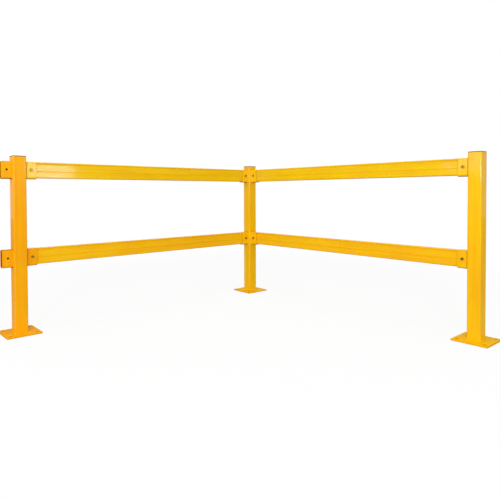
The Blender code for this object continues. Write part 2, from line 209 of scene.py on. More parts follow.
def rounded_square(side, radius, steps=8):
    """Square outline with round corners, counter-clockwise about the origin."""
    reach = side / 2 - radius
    outline = []
    for turn, (x, y) in enumerate(((1, -1), (1, 1), (-1, 1), (-1, -1))):
        start = 90 * turn - 90
        outline += arc((x * reach, y * reach), radius, start, start + 90, steps)
    return outline


def cut_plate(name, outlines, thickness, arris):
    """Plate cut to its first outline, with the others as holes and soft edges."""
    curve = bpy.data.curves.new(name, "CURVE")
    curve.dimensions = "2D"
    curve.fill_mode = "BOTH"
    curve.extrude = thickness / 2 - arris
    curve.bevel_depth = arris
    curve.bevel_resolution = 2
    curve.offset = -arris
    for index, outline in enumerate(outlines):
        points = outline if index == 0 else outline[::-1]
        spline = curve.splines.new("POLY")
        spline.points.add(len(points) - 1)
        for point, (x, y) in zip(spline.points, points):
            point.co = (x, y, 0.0, 1.0)
        spline.use_cyclic_u = True
    return bake(bpy.data.objects.new(name, curve))


def bake(obj):
    """The evaluated mesh of a helper object, merged and facing outwards."""
    bpy.context.scene.collection.objects.link(obj)
    bpy.context.view_layer.update()
    depsgraph = bpy.context.evaluated_depsgraph_get()
    mesh = bpy.data.meshes.new_from_object(obj.evaluated_get(depsgraph))
    bpy.data.objects.remove(obj, do_unlink=True)
    shell = bmesh.new()
    shell.from_mesh(mesh)
    bmesh.ops.remove_doubles(shell, verts=shell.verts, dist=0.000005)
    bmesh.ops.recalc_face_normals(shell, faces=shell.faces)
    shell.to_mesh(mesh)
    shell.free()
    return mesh


def mark_coat_and_shade(mesh, bores, bore_radius, bore_shade_share, inner_shade_share=0.0):
    """Notes where a flat blank is darkened: a lean coat on its cut edges and arrises, and
    painted shade in its bores and on the face that will lie inside."""
    marks = mesh.attributes.new("thin_coat_and_shade", "FLOAT", "FACE")
    for face in mesh.polygons:
        level = face.normal.z
        share = 0.0
        if level > FLAT_NORMAL:
            share = inner_shade_share
        elif abs(level) < FLAT_NORMAL:
            share = EDGE_SHARE
            for x, y in bores:
                if math.hypot(face.center.x - x, face.center.y - y) < 1.1 * bore_radius:
                    share = bore_shade_share
        marks.data[face.index].value = share


def add_piece(name, mesh, material, nodes, sharp=30.0):
    """A finished piece at the origin: smooth but for its sharp edges, with flats
    that stay flat, standing for its CAD nodes on the one rigid body."""
    mesh.name = name
    mesh.materials.clear()
    mesh.materials.append(material)
    mesh.shade_smooth()
    mesh.set_sharp_from_angle(angle=math.radians(sharp))
    obj = bpy.data.objects.new(name, mesh)
    bpy.context.scene.collection.objects.link(obj)
    flats = obj.modifiers.new("flats", "WEIGHTED_NORMAL")
    flats.keep_sharp = True
    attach(obj, "root")
    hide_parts(*nodes)
    return obj


# The coat's tone differs a little from piece to piece: the left post is the most
# orange, and the upper rails and the pockets that hold them are the most yellow.
# These tones are partly painted light, for how the light falls on each place.
yellow = powder_coat("powder-coated steel", "#F8C412", "#F3B210")
orange = powder_coat("powder-coated steel, left post, partly painted light", "#F9B00E", "#F3A20C")
pale = powder_coat("powder-coated steel, upper pockets, partly painted light", "#F6CB0A", "#F1BD0A")
coats = {"corner": yellow, "left": orange, "right": yellow}
# Hot-rolled plate keeps a slight texture under its coat, so it is less glossy.
plate_coats = {
    "corner": powder_coat("powder-coated plate", "#FDCB08", "#F9BE08", 0.02, 0.45,
                          (1.0, 1.0, 1.0)),
    # The left plate's more orange tone is partly painted light, as on the left post.
    "left": powder_coat("powder-coated plate, left, partly painted light", "#FFB80A", "#FBAE08", 0.02, 0.45,
                        (1.0, 1.0, 1.0)),
}
plate_coats["right"] = plate_coats["corner"]

offset = PLATE_SIDE / 2 - ANCHOR_INSET
anchors = [(x, y) for x in (-offset, offset) for y in (-offset, offset)]
outlines = [rounded_square(PLATE_SIDE, PLATE_CORNER)]
outlines += [arc(anchor, ANCHOR_HOLE / 2, 0, 350, 35) for anchor in anchors]
plate_blank = cut_plate("plate", outlines, PLATE_THICKNESS, PLATE_ARRIS)
mark_coat_and_shade(plate_blank, anchors, ANCHOR_HOLE / 2, ANCHOR_SHADE_SHARE)
for label, (x, y) in POSTS.items():
    plate = plate_blank.copy()
    plate.transform(Matrix.Translation((x, y, PLATE_THICKNESS / 2)))
    add_piece(label + "_plate", plate, plate_coats[label],
              [label + "_base_plate"])


# Posts
# Cold-formed 3 in square hollow section with a 4.8 mm wall and drawn corners, cut
# square and welded upright on its plate. The hollow is open down to the plate.
POST_SIDE = 0.0762
POST_WALL = 0.0048
POST_CORNER = 0.0070
POST_CUT_ARRIS = 0.0004

for label, (x, y) in POSTS.items():
    low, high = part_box(label + "_post")
    bore = rounded_square(POST_SIDE - 2 * POST_WALL, POST_CORNER - POST_WALL)
    section = [rounded_square(POST_SIDE, POST_CORNER), bore]
    post = cut_plate("post", section, high.z - low.z, POST_CUT_ARRIS)
    post.transform(Matrix.Translation((x, y, (low.z + high.z) / 2)))
    add_piece(label + "_upright", post, coats[label], [label + "_post"])


# Foot welds
# One MIG fillet bead round the foot of each post, about 6 mm a side, laid in short
# overlapping ripples and coated over with the rest.
FOOT_WELD_LEG = 0.0060
RIPPLE_PITCH = 0.0030
RIPPLE_HEIGHT = 0.0006
RIPPLE_STEPS = 5
FACE_SAG = 0.30
# Painted shade along the bead's toes, and a little less coat on its face.
TOE_SHADE_SHARE = 0.16
FACE_SHARE = 0.05
# Pieces that touch lie this far apart, as in the CAD.
SEAT_GAP = 0.0003


def size_tree(name, sizes, extra=()):
    """A geometry tree with named inputs for its sizes and its material."""
    tree = bpy.data.node_groups.new(name, "GeometryNodeTree")
    face = tree.interface
    face.new_socket("Geometry", in_out="INPUT", socket_type="NodeSocketGeometry")
    for label in sizes:
        face.new_socket(label, in_out="INPUT", socket_type="NodeSocketFloat")
    for label, kind in extra:
        face.new_socket(label, in_out="INPUT", socket_type=kind)
    face.new_socket("Material", in_out="INPUT", socket_type="NodeSocketMaterial")
    face.new_socket("Geometry", in_out="OUTPUT", socket_type="NodeSocketGeometry")
    return tree, add_node(tree, "NodeGroupInput").outputs


def end_tree(tree, sockets, geometry):
    """Every tree ends in real geometry that carries its material."""
    real = add_node(tree, "GeometryNodeRealizeInstances", {"Geometry": geometry})
    coated = add_node(tree, "GeometryNodeSetMaterial", {
        "Geometry": real.outputs[0], "Material": sockets["Material"]})
    add_node(tree, "NodeGroupOutput", {"Geometry": coated.outputs[0]})


def grow(name, mesh, tree, values):
    """Runs a geometry tree on a mesh with its inputs set, and returns the result."""
    obj = bpy.data.objects.new(name, mesh)
    modifier = obj.modifiers.new(name, "NODES")
    modifier.node_group = tree
    for item in tree.interface.items_tree:
        if item.in_out == "INPUT" and item.name in values:
            modifier[item.identifier] = values[item.name]
    return bake(obj)


def outline_mesh(name, points, closed, notes=None):
    """A row of flat points joined by edges, as a path or as a section. It may carry
    notes: under each name, a value for every point."""
    mesh = bpy.data.meshes.new(name)
    edges = [(index, index + 1) for index in range(len(points) - 1)]
    if closed:
        edges.append((len(points) - 1, 0))
    mesh.from_pydata([(x, y, 0.0) for x, y in points], edges, [])
    for label, values in (notes or {}).items():
        note = mesh.attributes.new(label, "FLOAT", "POINT")
        note.data.foreach_set("value", values)
    return mesh


def bead_tree():
    """A weld bead: a fillet section swept on a path, with crescent ripples whose
    crests lag in the middle of the bead, as the molten pool leaves them."""
    tree, size = size_tree("weld_bead", ("Step", "Turn Per Metre"),
                           [("Section", "NodeSocketObject")])
    path = add_node(tree, "GeometryNodeMeshToCurve", {"Mesh": size["Geometry"]})
    fine = add_node(tree, "GeometryNodeResampleCurve", {
        "Curve": path.outputs[0], "Length": size["Step"]}, mode="LENGTH")
    level = add_node(tree, "GeometryNodeSetCurveNormal",
                     {"Curve": fine.outputs[0]}, mode="Z_UP")
    travel = add_node(tree, "GeometryNodeSplineParameter")
    along = add_node(tree, "GeometryNodeStoreNamedAttribute", {
        "Geometry": level.outputs[0], "Name": "along",
        "Value": travel.outputs["Length"]}, data_type="FLOAT", domain="POINT")
    shape = add_node(tree, "GeometryNodeObjectInfo", {"Object": size["Section"]})
    section = add_node(tree, "GeometryNodeMeshToCurve",
                       {"Mesh": shape.outputs["Geometry"]})
    swept = add_node(tree, "GeometryNodeCurveToMesh", {
        "Curve": along.outputs[0], "Profile Curve": section.outputs[0],
        "Fill Caps": True})
    run, lag, rise = (
        add_node(tree, "GeometryNodeInputNamedAttribute", {"Name": name},
                 data_type="FLOAT").outputs["Attribute"]
        for name in ("along", "lag", "rise"))
    turn = add_node(tree, "ShaderNodeMath", {
        0: run, 1: size["Turn Per Metre"], 2: lag}, operation="MULTIPLY_ADD")
    sine = add_node(tree, "ShaderNodeMath", {0: turn.outputs[0]}, operation="SINE")
    wave = add_node(tree, "ShaderNodeMath", {0: sine.outputs[0]}, operation="ABSOLUTE")
    # No two ripples are alike: they swell and sink over about 10 mm.
    spot = add_node(tree, "GeometryNodeInputPosition")
    swell = add_node(tree, "ShaderNodeTexNoise", {
        "Vector": spot.outputs[0], "Scale": 90.0, "Detail": 1.0})
    uneven = add_node(tree, "ShaderNodeMath", {
        0: swell.outputs["Fac"], 1: 0.5, 2: wave.outputs[0]}, operation="MULTIPLY_ADD")
    crest = add_node(tree, "ShaderNodeMath", {0: uneven.outputs[0], 1: 0.9},
                     operation="SUBTRACT")
    lift = add_node(tree, "ShaderNodeMath", {
        0: crest.outputs[0], 1: rise}, operation="MULTIPLY")
    normal = add_node(tree, "GeometryNodeInputNormal")
    push = add_node(tree, "ShaderNodeVectorMath", {
        0: normal.outputs["Normal"], "Scale": lift.outputs[0]}, operation="SCALE")
    rippled = add_node(tree, "GeometryNodeSetPosition", {
        "Geometry": swept.outputs[0], "Offset": push.outputs[0]})
    end_tree(tree, size, rippled.outputs[0])
    return tree


def bead_section(leg, root, ripple):
    """Fillet outline: its two legs and a nearly flat face between them. It notes how
    high a ripple stands at each point and how far its crest lags there."""
    points = [(-root, root), (leg, root), (leg, 0.0)]
    for step in range(1, 8):
        turn = math.radians(90 * step / 8)
        reach = leg * (1 - FACE_SAG * math.sin(2 * turn))
        points.append((reach * math.cos(turn), -reach * math.sin(turn)))
    points += [(0.0, -leg), (-root, -leg)]
    # The section lies with its height along -Y, which the sweep turns upright.
    rise = [ripple * min((x - y) / leg, 1.0) for x, y in points]
    lag = [math.pi / 2 * ((x + y) / leg) ** 2 for x, y in points]
    # The bead's face takes the powder a little unevenly, and both toes are darkened as painted
    # shade.
    thin_and_shade = [TOE_SHADE_SHARE if abs(abs(x) - abs(y)) > 0.6 * leg else FACE_SHARE
            for x, y in points]
    mesh = outline_mesh("bead_section", points, True,
                        {"rise": rise, "lag": lag, "thin_coat_and_shade": thin_and_shade})
    return bpy.data.objects.new("bead_section", mesh)


bead = bead_tree()
# The coat pools on the ripples, where it flows out to a hard gloss that glints.
pooled = {
    "corner": powder_coat("powder-coated weld", "#F9C608", "#F4B408", 0.3, 0.06),
    # The left weld's more orange tone is partly painted light, as on the left post.
    "left": powder_coat("powder-coated weld, left post, partly painted light", "#F8B20A", "#F0A108", 0.3, 0.06),
}
pooled["right"] = pooled["corner"]
foot_section = bead_section(FOOT_WELD_LEG - SEAT_GAP, SEAT_GAP, RIPPLE_HEIGHT)
for label, (x, y) in POSTS.items():
    low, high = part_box(label + "_foot_weld")
    path = outline_mesh("foot_path", rounded_square(
        POST_SIDE + 2 * SEAT_GAP, POST_CORNER + SEAT_GAP), True)
    weld = grow("foot_weld", path, bead, {
        "Step": RIPPLE_PITCH / RIPPLE_STEPS, "Turn Per Metre": math.pi / RIPPLE_PITCH,
        "Section": foot_section, "Material": pooled[label]})
    weld.transform(Matrix.Translation((x, y, low.z)))
    add_piece(label + "_foot_bead", weld, pooled[label],
              [label + "_foot_weld"], 50.0)
bpy.data.objects.remove(foot_section, do_unlink=True)


# End caps
# Low-density polyethylene, injection moulded in black: a flange as wide as the post
# with a low dome, and a hollow ribbed spigot that grips inside the tube.
CAP_EDGE_HEIGHT = 0.0038
CAP_EDGE_RADIUS = 0.0008
CAP_EDGE_TURN = 70
CAP_HEIGHT = 0.0040
SPIGOT_WALL = 0.0025
SPIGOT_DEPTH = 0.0160
SPIGOT_ROOF = 0.0002
RIB_PITCH = 0.0040
RIB_HEIGHT = 0.0006
GATE_RADIUS = 0.0030
GATE_DEPTH = 0.0004


def moulded_plastic():
    """Moulded polyethylene: dark, satin and slightly waxy, with the fine spark
    texture of its mould and a trace of dust."""
    material, tree = new_material("moulded polyethylene")
    place = add_node(tree, "ShaderNodeTexCoord").outputs["Object"]
    dust = add_node(tree, "ShaderNodeTexNoise",
                    {"Vector": place, "Scale": 45.0, "Detail": 4.0})
    shade = add_node(tree, "ShaderNodeMapRange", {
        "Value": dust.outputs["Fac"], "From Min": 0.45, "From Max": 0.8})
    colour = add_node(tree, "ShaderNodeMix", {
        "Factor": shade.outputs["Result"], "A": linear("#1D1B18"),
        "B": linear("#35322D")}, data_type="RGBA")
    # Spark texture of about 0.4 mm, drawn at 0.8 mm so that it shows at all.
    grit = add_node(tree, "ShaderNodeTexNoise",
                    {"Vector": place, "Scale": 1250.0, "Detail": 1.0})
    skin = add_node(tree, "ShaderNodeBump", {
        "Height": grit.outputs["Fac"], "Strength": 0.6, "Distance": 0.00006})
    rough = add_node(tree, "ShaderNodeMapRange", {
        "Value": dust.outputs["Fac"], "To Min": 0.42, "To Max": 0.58})
    shader = add_node(tree, "ShaderNodeBsdfPrincipled", {
        "Base Color": colour.outputs["Result"], "Roughness": rough.outputs["Result"],
        "IOR": 1.51, "Specular IOR Level": 0.3, "Normal": skin.outputs["Normal"]})
    add_node(tree, "ShaderNodeOutputMaterial", {"Surface": shader.outputs["BSDF"]})
    return material


def skin_rings(name, rings):
    """Closed shell over a row of rings of equal count, from the first to the last."""
    shell = bmesh.new()
    rows = [[shell.verts.new(point) for point in ring] for ring in rings]
    for lower, upper in zip(rows, rows[1:]):
        for index in range(len(lower)):
            after = (index + 1) % len(lower)
            shell.faces.new((lower[index], lower[after], upper[after], upper[index]))
    shell.faces.new(rows[0])
    shell.faces.new(rows[-1])
    # A square that has turned into a circle repeats the ends of its lost sides.
    bmesh.ops.remove_doubles(shell, verts=shell.verts, dist=1e-6)
    bmesh.ops.recalc_face_normals(shell, faces=shell.faces)
    mesh = bpy.data.meshes.new(name)
    shell.to_mesh(mesh)
    shell.free()
    return mesh


def cap_ring(inset, height):
    """A ring of the cap. Toward the middle the square turns into a circle."""
    side = POST_SIDE - 2 * inset
    radius = min(max(POST_CORNER - inset * 0.3, inset * 0.5), side / 2)
    return [(x, y, height) for x, y in rounded_square(side, radius)]


def cap_mesh():
    """Spigot and flange in one shell: up the inside of the spigot, down its
    outside, out under the flange, over its edge and up the dome."""
    tube = POST_WALL + SEAT_GAP
    inner = tube + SPIGOT_WALL
    trunk = tube + RIB_HEIGHT
    rings = [cap_ring(inner, -SPIGOT_ROOF), cap_ring(inner, -SPIGOT_DEPTH)]
    rings += [cap_ring(trunk, -SPIGOT_DEPTH)]
    # Three shallow ribs round the spigot bite on the tube.
    for rib in range(3):
        height = -SPIGOT_DEPTH + RIB_PITCH * (rib + 1)
        rings += [cap_ring(trunk, height - 0.0010), cap_ring(tube, height),
                  cap_ring(trunk, height + RIB_HEIGHT)]
    rings += [cap_ring(trunk, 0.0), cap_ring(0.0, 0.0)]
    for x, z in arc((0.0, CAP_EDGE_HEIGHT - CAP_EDGE_RADIUS), CAP_EDGE_RADIUS,
                    0, CAP_EDGE_TURN, 6):
        rings.append(cap_ring(CAP_EDGE_RADIUS - x, z))
    turn = math.radians(CAP_EDGE_TURN)
    edge = CAP_EDGE_RADIUS * (1 - math.cos(turn))
    foot = CAP_EDGE_HEIGHT - CAP_EDGE_RADIUS * (1 - math.sin(turn))
    for step in range(1, 12):
        share = step / 12
        inset = edge + (POST_SIDE / 2 - GATE_RADIUS - edge) * share
        rise = (CAP_HEIGHT - foot) * math.sin(share * math.pi / 2)
        rings.append(cap_ring(inset, foot + rise))
    # The gate mark: a shallow round dish where the plastic was let in.
    for radius, depth in ((1.0, 0.0), (0.8, 1.0), (0.4, 1.0)):
        inset = POST_SIDE / 2 - GATE_RADIUS * radius
        rings.append(cap_ring(inset, CAP_HEIGHT - GATE_DEPTH * depth))
    return skin_rings("cap", rings)


black = moulded_plastic()
for label, (x, y) in POSTS.items():
    low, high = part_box(label + "_post_cap")
    cap = cap_mesh()
    cap.transform(Matrix.Translation((x, y, high.z - CAP_HEIGHT)))
    add_piece(label + "_end_cap", cap, black, [label + "_post_cap"], 40)


# Pockets
# Blanks of 6 mm plate with a hole each side, folded twice to a U and welded to the
# posts. Eight hold the rail ends, and two on the left post wait for a further bay.
POCKET_SHEET = 0.0060
POCKET_LENGTH = 0.0635
POCKET_INNER = 0.0310
POCKET_BEND = 0.0065
POCKET_DEPTH = 0.1003
POCKET_LIP = 0.0050
POCKET_FOOT = 0.0012
POCKET_ARRIS = 0.0008
BEND_STEPS = 12
POCKET_WELD_LEG = 0.0040
POCKET_WELD_STOP = 0.0030
POCKET_RIPPLE_PITCH = 0.0026
POCKET_RIPPLE_HEIGHT = 0.0004
BOLT_DROP = 0.0500
BOLT_HOLE = 0.0111
# How dark the bolt holes, the inside of the U and the underside are painted as shade.
HOLE_SHADE_SHARE = 1.0
INSIDE_SHADE_SHARE = 0.8
UNDERSIDE_SHADE_SHARE = 0.8
POCKETS = {
    "corner_pocket_left": ("corner", (0, -1)),
    "left_pocket_inner": ("left", (0, 1)),
    "left_pocket_outer": ("left", (0, -1)),
    "corner_pocket_right": ("corner", (1, 0)),
    "right_pocket_inner": ("right", (-1, 0)),
}

pocket_floor = POCKET_INNER / 2 - POCKET_BEND
pocket_turn = pocket_floor + POCKET_BEND * math.pi / 2
pocket_reach = pocket_turn + POCKET_DEPTH - POCKET_BEND


def folded(s, height):
    """Where a point of the flat blank goes: s from its middle line, height outward
    from the inner wall. Returns the place across the pocket and above its floor."""
    sign = 1.0 if s >= 0 else -1.0
    s = abs(s)
    if s <= pocket_floor:
        return sign * s, -height
    far = POCKET_BEND + height
    if s >= pocket_turn:
        return sign * (pocket_floor + far), POCKET_BEND + s - pocket_turn
    angle = (s - pocket_floor) / POCKET_BEND
    return (sign * (pocket_floor + far * math.sin(angle)),
            POCKET_BEND - far * math.cos(angle))


def pocket_mesh():
    """The blank, cut with its holes and soft edges, scored in the bends and folded.
    The mouth is at +Y and its two upper corners are round."""
    half = POCKET_LENGTH / 2
    lip = POCKET_LIP
    foot = POCKET_FOOT
    outline = arc((pocket_reach - foot, foot - half), foot, -90, 0, 3)
    outline += arc((pocket_reach - lip, half - lip), lip, 0, 90, 8)
    outline += arc((lip - pocket_reach, half - lip), lip, 90, 180, 8)
    outline += arc((foot - pocket_reach, foot - half), foot, 180, 270, 3)
    hole = pocket_turn + (POCKET_DEPTH - BOLT_DROP) - POCKET_BEND
    holes = [arc((side * hole, 0.0), BOLT_HOLE / 2, 0, 345, 23) for side in (-1, 1)]
    blank = cut_plate("pocket", [outline] + holes, POCKET_SHEET, POCKET_ARRIS)
    mark_coat_and_shade(blank, [(-hole, 0.0), (hole, 0.0)], BOLT_HOLE / 2, HOLE_SHADE_SHARE,
                   INSIDE_SHADE_SHARE)
    shell = bmesh.new()
    shell.from_mesh(blank)
    for step in range(BEND_STEPS + 1):
        turn = pocket_floor + (pocket_turn - pocket_floor) * step / BEND_STEPS
        for side in (-1, 1):
            bmesh.ops.bisect_plane(
                shell, geom=shell.verts[:] + shell.edges[:] + shell.faces[:],
                plane_co=(side * turn, 0, 0), plane_no=(1, 0, 0), dist=0.000001)
    for vert in shell.verts:
        across, up = folded(vert.co.x, POCKET_SHEET / 2 - vert.co.z)
        vert.co = (across, vert.co.y, up)
    bmesh.ops.recalc_face_normals(shell, faces=shell.faces)
    shell.to_mesh(blank)
    shell.free()
    # Painted shade: faces that look down are darkened.
    marks = blank.attributes["thin_coat_and_shade"].data
    for face in blank.polygons:
        if face.normal.z < -0.7:
            marks[face.index].value = UNDERSIDE_SHADE_SHARE
    return blank


def pocket_bead():
    """The root weld: down one side of the U, round its bottom and up the other. It is
    laid flat and then stood up."""
    stop = POCKET_DEPTH - POCKET_WELD_STOP
    far = POCKET_BEND + POCKET_SHEET
    points = [(-pocket_floor - far, stop)]
    points += arc((-pocket_floor, POCKET_BEND), far, 180, 270, BEND_STEPS)
    points += arc((pocket_floor, POCKET_BEND), far, 270, 360, BEND_STEPS)
    points.append((pocket_floor + far, stop))
    section = bead_section(POCKET_WELD_LEG, SEAT_GAP, POCKET_RIPPLE_HEIGHT)
    weld = grow("pocket_weld", outline_mesh("root_path", points, False), bead, {
        "Step": POCKET_RIPPLE_PITCH / RIPPLE_STEPS,
        "Turn Per Metre": math.pi / POCKET_RIPPLE_PITCH,
        "Section": section, "Material": yellow})
    bpy.data.objects.remove(section, do_unlink=True)
    # The path lay flat with the post below it: the pocket's height was its Y.
    stand = Matrix(((1, 0, 0, 0), (0, 0, 1, -POCKET_LENGTH / 2), (0, 1, 0, 0),
                    (0, 0, 0, 1)))
    weld.transform(stand)
    weld.flip_normals()
    # The blank notes its coat and painted shade face by face, so the bead that joins it does too.
    film = [point.value for point in weld.attributes["thin_coat_and_shade"].data]
    shares = [sum(film[index] for index in face.vertices) / len(face.vertices)
              for face in weld.polygons]
    weld.attributes.remove(weld.attributes["thin_coat_and_shade"])
    marks = weld.attributes.new("thin_coat_and_shade", "FLOAT", "FACE")
    marks.data.foreach_set("value", shares)
    return weld


def join(name, meshes):
    """One mesh from several, each kept as a closed shell of its own."""
    shell = bmesh.new()
    for mesh in meshes:
        shell.from_mesh(mesh)
    joined = bpy.data.meshes.new(name)
    shell.to_mesh(joined)
    shell.free()
    return joined


pocket_blank = join("pocket", [pocket_mesh(), pocket_bead()])
for stem, (label, (dx, dy)) in POCKETS.items():
    for height in ("upper", "lower"):
        node = stem + "_" + height
        low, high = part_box(node)
        x, y = POSTS[label]
        centre = POST_SIDE / 2 + SEAT_GAP + POCKET_LENGTH / 2
        facing = Matrix.Rotation(math.atan2(dy, dx) - math.pi / 2, 4, "Z")
        seat = Matrix.Translation(
            (x + dx * centre, y + dy * centre, high.z - POCKET_DEPTH))
        pocket = pocket_blank.copy()
        pocket.transform(seat @ facing)
        name = node.replace("pocket", "saddle")
        spare = "outer" in stem
        # The upper pockets' paler tone is partly painted light.
        coat = pale if height == "upper" and not spare else coats[label]
        add_piece(name, pocket, coat, [node], 35)


# Rails
# Roll-formed from 2 mm strip to a closed box section 100 mm high: a shallow groove
# under the top lip, a narrow one below the middle, and round lower bends.
RAIL_HEIGHT = 0.1000
RAIL_WIDTH = 0.0300
RAIL_SHEET = 0.0020
RAIL_TOP_BEND = 0.0030
RAIL_LOW_BEND = 0.0060
# Drop, width, floor and depth of each groove, then its shoulders below and above.
# The web groove's upper shoulder ends above the bolt hole.
LIP_GROOVE = (0.0115, 0.0070, 0.0020, 0.0018, 0.0040, 0.0040)
WEB_GROOVE = (0.0575, 0.0032, 0.0000, 0.0012, 0.0040, 0.0124)
RAIL_END_GAP = 0.0030
# How dark the grooves and the low bends are painted as shade, and how far back
# from the web it takes to get there.
GROOVE_SHADE_SHARE = 0.10
LOW_BEND_SHADE_SHARE = 0.5
LOW_BEND_FADE = 0.0012


def groove(drop, width, floor, depth, below, above):
    """Side of a groove from its lower shoulder up to its upper one."""
    half = RAIL_WIDTH / 2
    points = []
    slope = (width - floor) / 2
    for step in range(6):
        share = step / 5
        fall = depth * (1 - math.cos(math.pi * share)) / 2
        points.append((half - fall, -drop - width / 2 + slope * share))
    rising = [(x, -2 * drop - y) for x, y in reversed(points)]
    points += rising if floor else rising[1:]
    return ([(half, -drop - width / 2 - below)] + points
            + [(half, -drop + width / 2 + above)])


def rail_outline():
    """Section of the rail, counter-clockwise, its top edge at Y = 0."""
    half = RAIL_WIDTH / 2
    side = arc((half - RAIL_LOW_BEND, RAIL_LOW_BEND - RAIL_HEIGHT), RAIL_LOW_BEND,
               -90, 0, 10)
    side += groove(*WEB_GROOVE) + groove(*LIP_GROOVE)
    side += arc((half - RAIL_TOP_BEND, -RAIL_TOP_BEND), RAIL_TOP_BEND, 0, 90, 6)
    return side + [(-x, y) for x, y in reversed(side)]


def groove_shade(section):
    """Painted shade in the grooves, which fades out over their shoulders, and round the
    low bends, which face down."""
    film = []
    for x, y in section:
        share = 0.0
        for drop, width in (LIP_GROOVE[:2], WEB_GROOVE[:2]):
            if abs(y - drop) < width / 2 + 0.0001:
                share = GROOVE_SHADE_SHARE
        if y > RAIL_HEIGHT - RAIL_LOW_BEND:
            share = LOW_BEND_SHADE_SHARE * min((RAIL_WIDTH / 2 - abs(x)) / LOW_BEND_FADE, 1.0)
        film.append(share)
    return film


def rolled_tree():
    """Strip rolled to its section and run out to length along X."""
    tree, size = size_tree("rolled_section", ("Length",))
    section = add_node(tree, "GeometryNodeMeshToCurve", {"Mesh": size["Geometry"]})
    end = add_node(tree, "ShaderNodeCombineXYZ", {"X": size["Length"]})
    line = add_node(tree, "GeometryNodeCurvePrimitiveLine", {"End": end.outputs[0]})
    level = add_node(tree, "GeometryNodeSetCurveNormal",
                     {"Curve": line.outputs[0]}, mode="Z_UP")
    swept = add_node(tree, "GeometryNodeCurveToMesh", {
        "Curve": level.outputs[0], "Profile Curve": section.outputs[0]})
    end_tree(tree, size, swept.outputs[0])
    return tree


def drill(x):
    """A round cutter along Y, for the bolt holes at X of a rail."""
    mesh = cut_plate("drill", [arc((0, 0), BOLT_HOLE / 2, 0, 350, 35)],
                     3 * RAIL_WIDTH, 0.0001)
    mesh.transform(Matrix.Translation((x, 0, -BOLT_DROP))
                   @ Matrix.Rotation(math.pi / 2, 4, "X"))
    return bpy.data.objects.new("drill", mesh)


rolled = rolled_tree()
rail_coats = {
    # The lower rails' more orange tone and the upper rails' more yellow one are partly painted
    # light.
    "upper": powder_coat("powder-coated steel, upper rails", "#F2C612", "#EDB810",
                         run=(0.03, 0.03, 1.0)),
    "lower": powder_coat("powder-coated steel, lower rails", "#F7BF14", "#F2B012",
                         run=(0.03, 0.03, 1.0)),
}
for side, turn in (("left", -math.pi / 2), ("right", 0.0)):
    for height in ("upper", "lower"):
        node = side + "_" + height + "_rail"
        low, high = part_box(node)
        length = max(high.x - low.x, high.y - low.y)
        # The sweep turns the section over, so it is given upside down.
        section = [(x, -y) for x, y in rail_outline()]
        strip = outline_mesh("section", section, True,
                             {"thin_coat_and_shade": groove_shade(section)})
        skin = grow("rail", strip, rolled,
                    {"Length": length, "Material": rail_coats[height]})
        blank = bpy.data.objects.new("rail", skin)
        wall = blank.modifiers.new("wall", "SOLIDIFY")
        wall.thickness = RAIL_SHEET
        wall.offset = -1.0
        # From the rail's end to its bolt: half a pocket less the gap at the post.
        setback = POCKET_LENGTH / 2 + SEAT_GAP - RAIL_END_GAP
        cutters = []
        for x in (setback, length - setback):
            cutter = drill(x)
            bpy.context.scene.collection.objects.link(cutter)
            hole = blank.modifiers.new("hole", "BOOLEAN")
            hole.object = cutter
            hole.solver = "EXACT"
            # The wall folds over itself inside the grooves, which the cut has to sort.
            hole.use_self = True
            cutters.append(cutter)
        rail = bake(blank)
        for cutter in cutters:
            bpy.data.objects.remove(cutter, do_unlink=True)
        start = (0.0, high.y, high.z) if side == "left" else (low.x, 0.0, high.z)
        rail.transform(Matrix.Translation(start) @ Matrix.Rotation(turn, 4, "Z"))
        add_piece(side + "_" + height + "_beam", rail, rail_coats[height],
                  [node])


# Fastenings
# 3/8 in hex bolts with a washer at each end and a lock nut on the far side, zinc
# plated with a dark yellow passivate. The head washers are coated like the pockets.
BOLT_DIAMETER = 0.0095
ACROSS_FLATS = 0.0143
HEAD_HEIGHT = 0.0064
NUT_HEIGHT = 0.0085
THREAD_PITCH = 0.0015875
THREAD_LENGTH = 0.0260
WASHER_OUTER = 0.0254
WASHER_BORE = 0.0101
WASHER_THICKNESS = 0.0020
WASHER_EDGE = 0.0004
# Shares of the thread's pitch, of the bolt's diameter and of the width across flats.
THREAD_DEPTH_SHARE = 0.55
THREAD_END_SHARE = 0.7
TAP_SHARE = 0.515
CROWN_SHARE = 0.475
ENDS = ("corner_left", "left", "corner_right", "right")


def zinc_plate():
    """Zinc plate with a dark yellow passivate: a dark brown-gold metal with violet
    tints that drift over a few millimetres, and a narrow glint on its edges."""
    material, tree = new_material("yellow-passivated zinc plate")
    place = add_node(tree, "ShaderNodeTexCoord").outputs["Object"]
    film = add_node(tree, "ShaderNodeTexNoise",
                    {"Vector": place, "Scale": 160.0, "Detail": 2.0})
    ramp = add_node(tree, "ShaderNodeValToRGB", {"Fac": film.outputs["Fac"]})
    stops = ramp.color_ramp.elements
    stops[0].position, stops[0].color = 0.35, linear("#6E4A3C")
    stops[1].position, stops[1].color = 0.65, linear("#96702C")
    middle = stops.new(0.5)
    middle.color = linear("#825A26")
    # Plating grain of about 0.2 mm, drawn at 0.5 mm so that it shows.
    grain = add_node(tree, "ShaderNodeTexNoise",
                     {"Vector": place, "Scale": 2000.0, "Detail": 1.0})
    skin = add_node(tree, "ShaderNodeBump", {
        "Height": grain.outputs["Fac"], "Strength": 0.3, "Distance": 0.00003})
    rough = add_node(tree, "ShaderNodeMapRange", {
        "Value": film.outputs["Fac"], "From Min": 0.3, "From Max": 0.7,
        "To Min": 0.28, "To Max": 0.38})
    shader = add_node(tree, "ShaderNodeBsdfPrincipled", {
        "Base Color": ramp.outputs["Color"], "Metallic": 1.0,
        "Roughness": rough.outputs["Result"], "Normal": skin.outputs["Normal"]})
    add_node(tree, "ShaderNodeOutputMaterial", {"Surface": shader.outputs["BSDF"]})
    return material


